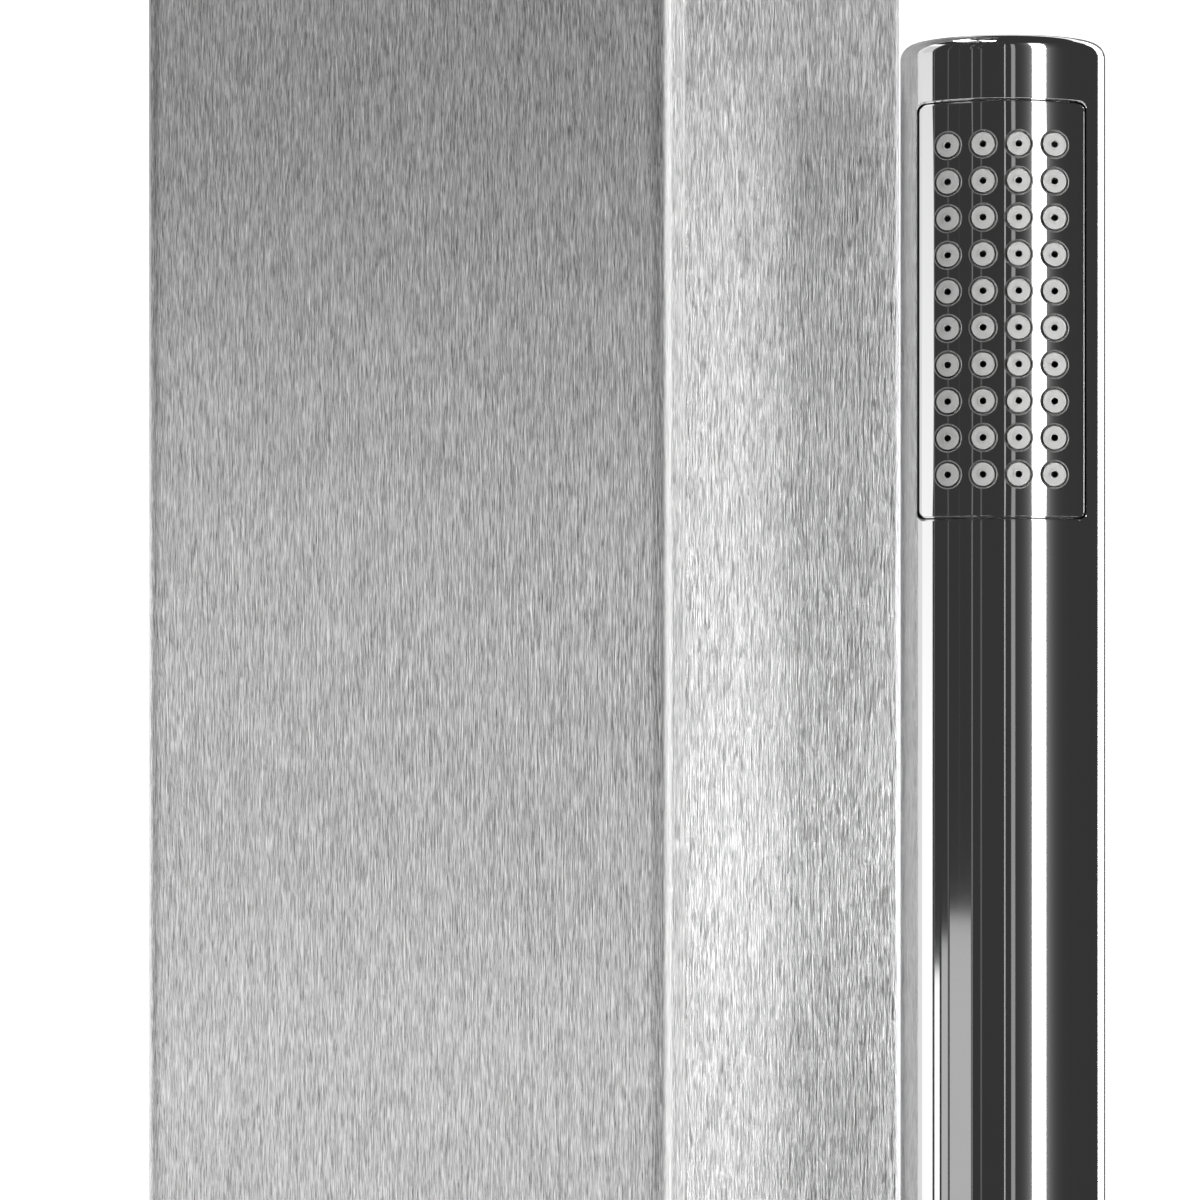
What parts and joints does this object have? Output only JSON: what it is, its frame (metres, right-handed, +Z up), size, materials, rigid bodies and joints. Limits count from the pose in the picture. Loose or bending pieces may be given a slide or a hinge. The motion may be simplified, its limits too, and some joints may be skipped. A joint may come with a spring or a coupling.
{
  "type": "outdoor shower column",
  "caption": "Free-standing stainless outdoor shower: folded column on a floor plate, rain head on an arm, lever mixer, diverter, and a slim stick handset in a side holder.",
  "frame": {"origin": "centre of the floor plate's underside, which is the centre of its anchor holes", "axes": "+Z up along the column; the front with the mixer and the rain head faces -Y; the side with the handset faces +X"},
  "size_m": [0.23, 0.5675, 2.2],
  "materials": {
    "brushed_stainless": "brushed along the length",
    "plain_steel": "machined",
    "chrome": "mirror",
    "brass": "as cast",
    "steel_pipe": "drawn",
    "white_plastic": "moulded",
    "black_plastic": "moulded",
    "pale_silicone": "matt",
    "black_rubber": "matt"
  },
  "bodies": {
    "column": {"base_plate": "brushed_stainless", "base_socket": "plain_steel", "column_fixing_screws": "plain_steel", "column_shell": "brushed_stainless", "column_top_cap": "brushed_stainless", "rear_panel": "brushed_stainless", "rear_panel_screws": "plain_steel", "rear_panel_rivet_nuts": "plain_steel", "inlet_elbows": "brass", "wall_locknuts": "brass", "supply_pipes": "steel_pipe", "supply_pipe_nuts": "brass", "mixer_to_diverter_pipe": "steel_pipe", "riser_pipe": "steel_pipe", "riser_clips": "white_plastic", "hand_outlet_pipe": "steel_pipe", "arm_wall_plate": "brushed_stainless", "arm_tube": "brushed_stainless", "arm_end_cap": "brushed_stainless", "arm_nipple": "brass", "riser_elbow": "brass", "head_ball_stud": "chrome", "mixer_body": "brass", "mixer_cartridge": "white_plastic", "mixer_retaining_nut": "brass", "mixer_rosette": "chrome", "mixer_dome": "chrome", "diverter_body": "brass", "diverter_cartridge": "white_plastic", "diverter_rosette": "chrome", "outlet_elbow": "chrome", "outlet_rosette": "chrome", "holder_base": "chrome", "holder_fasteners": "plain_steel"},
    "ball_joint_ring": {"head_ball_ring": "white_plastic"},
    "rain_head": {"head_ball_nut": "chrome", "head_ball_seal": "black_rubber", "head_hub": "chrome", "head_top_shell": "brushed_stainless", "head_spray_plate": "brushed_stainless", "head_nozzle_mat": "pale_silicone", "head_gasket": "black_rubber", "head_screws": "plain_steel"},
    "mixer_rotor": {"mixer_rotor": "brass"},
    "mixer_handle": {"mixer_stem": "brass", "mixer_handle": "chrome", "mixer_handle_screw": "plain_steel", "mixer_lever": "chrome"},
    "diverter_knob": {"diverter_spindle": "brass", "diverter_knob": "chrome", "diverter_pointer": "chrome"},
    "holder": {"holder_ring": "chrome", "holder_liner": "black_plastic"},
    "hose_connector": {"hose_connector": "chrome", "hose_connector_rings": "plain_steel"},
    "handset": {"handset_body": "chrome", "handset_spray_plate": "chrome", "handset_nozzle_mat": "pale_silicone", "handset_waterway": "white_plastic", "handset_end_bush": "white_plastic"}
  },
  "joints": [
    {"name": "head_swing", "type": "hinge", "parent": "column", "child": "ball_joint_ring", "pos_m": [0, -0.3525, 2.08034], "axis": [0, 1, 0], "range_deg": [-12, 12]},
    {"name": "head_tilt", "type": "hinge", "parent": "ball_joint_ring", "child": "rain_head", "pos_m": [0, -0.3525, 2.08034], "axis": [1, 0, 0], "range_deg": [-12, 12]},
    {"name": "mixer_turn", "type": "hinge", "parent": "column", "child": "mixer_rotor", "pos_m": [0, -0.0385, 0.985], "axis": [0, 1, 0], "range_deg": [-45, 45]},
    {"name": "mixer_lift", "type": "hinge", "parent": "mixer_rotor", "child": "mixer_handle", "pos_m": [0, -0.0385, 0.985], "axis": [-1, 0, 0], "range_deg": [0, 22]},
    {"name": "diverter_turn", "type": "hinge", "parent": "column", "child": "diverter_knob", "pos_m": [0, -0.0325, 1.06], "axis": [0, -1, 0], "range_deg": [0, 90]},
    {"name": "holder_tilt", "type": "hinge", "parent": "column", "child": "holder", "pos_m": [0.06, 0, 1.225], "axis": [1, 0, 0], "range_deg": [-20, 20]},
    {"name": "handset_lift", "type": "slide", "parent": "holder", "child": "hose_connector", "axis": [0, 0, 1], "range_m": [0, 0.06]},
    {"name": "handset_spin", "type": "hinge", "parent": "hose_connector", "child": "handset", "pos_m": [0.084, 0, 1.2151], "axis": [0, 0, 1], "continuous": true}
  ]
}
